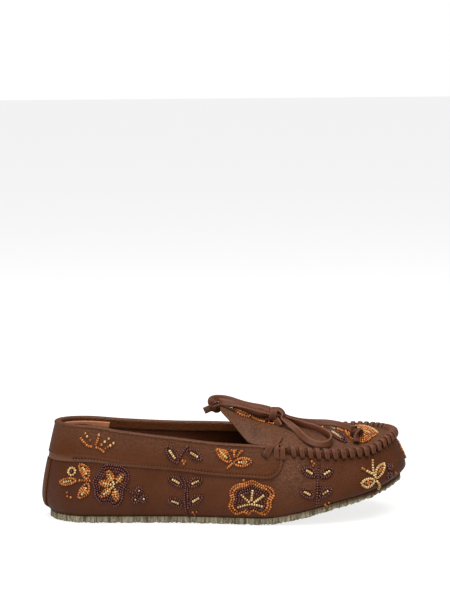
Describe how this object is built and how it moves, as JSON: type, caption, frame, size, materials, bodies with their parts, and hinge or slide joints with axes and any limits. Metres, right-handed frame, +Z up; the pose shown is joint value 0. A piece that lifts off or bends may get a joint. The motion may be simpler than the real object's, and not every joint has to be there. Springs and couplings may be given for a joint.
{
  "type": "moccasin loafer",
  "caption": "Brown leather moccasin loafer for the right foot, with whip-sewn apron toe, folded collar band, leather lace bow, beaded flower sprigs and thin crepe sole.",
  "frame": {"origin": "on the floor, under the middle of the box round the shoe without its free lace", "axes": "+X from heel to toe, +Y to the inner side of the foot, +Z up from the floor"},
  "size_m": [0.25, 0.0916, 0.0823],
  "materials": {
    "upper_leather": "fine grained, soft sheen",
    "apron_leather": "fine grained, soft sheen",
    "band_leather": "fine grained, soft sheen",
    "strip_leather": "fine grained, soft sheen",
    "insole_leather": "smooth, matte",
    "crepe": "streaked crepe, matte",
    "lace_leather": "smooth cut strip, satin"
  },
  "bodies": {
    "root": {"upper": "upper_leather", "collar_band": "band_leather", "heel_strip": "strip_leather", "apron": "apron_leather", "outsole": "crepe", "insole": "insole_leather", "lace_bar_outer": "lace_leather", "lace_bar_inner": "lace_leather", "bow_knot": "lace_leather", "bow_loop_toe": "lace_leather", "bow_loop_heel": "lace_leather", "lace_end_toe": "lace_leather", "lace_end_heel": "lace_leather", "end_knot_toe": "lace_leather", "end_knot_heel": "lace_leather"}
  },
  "joints": []
}
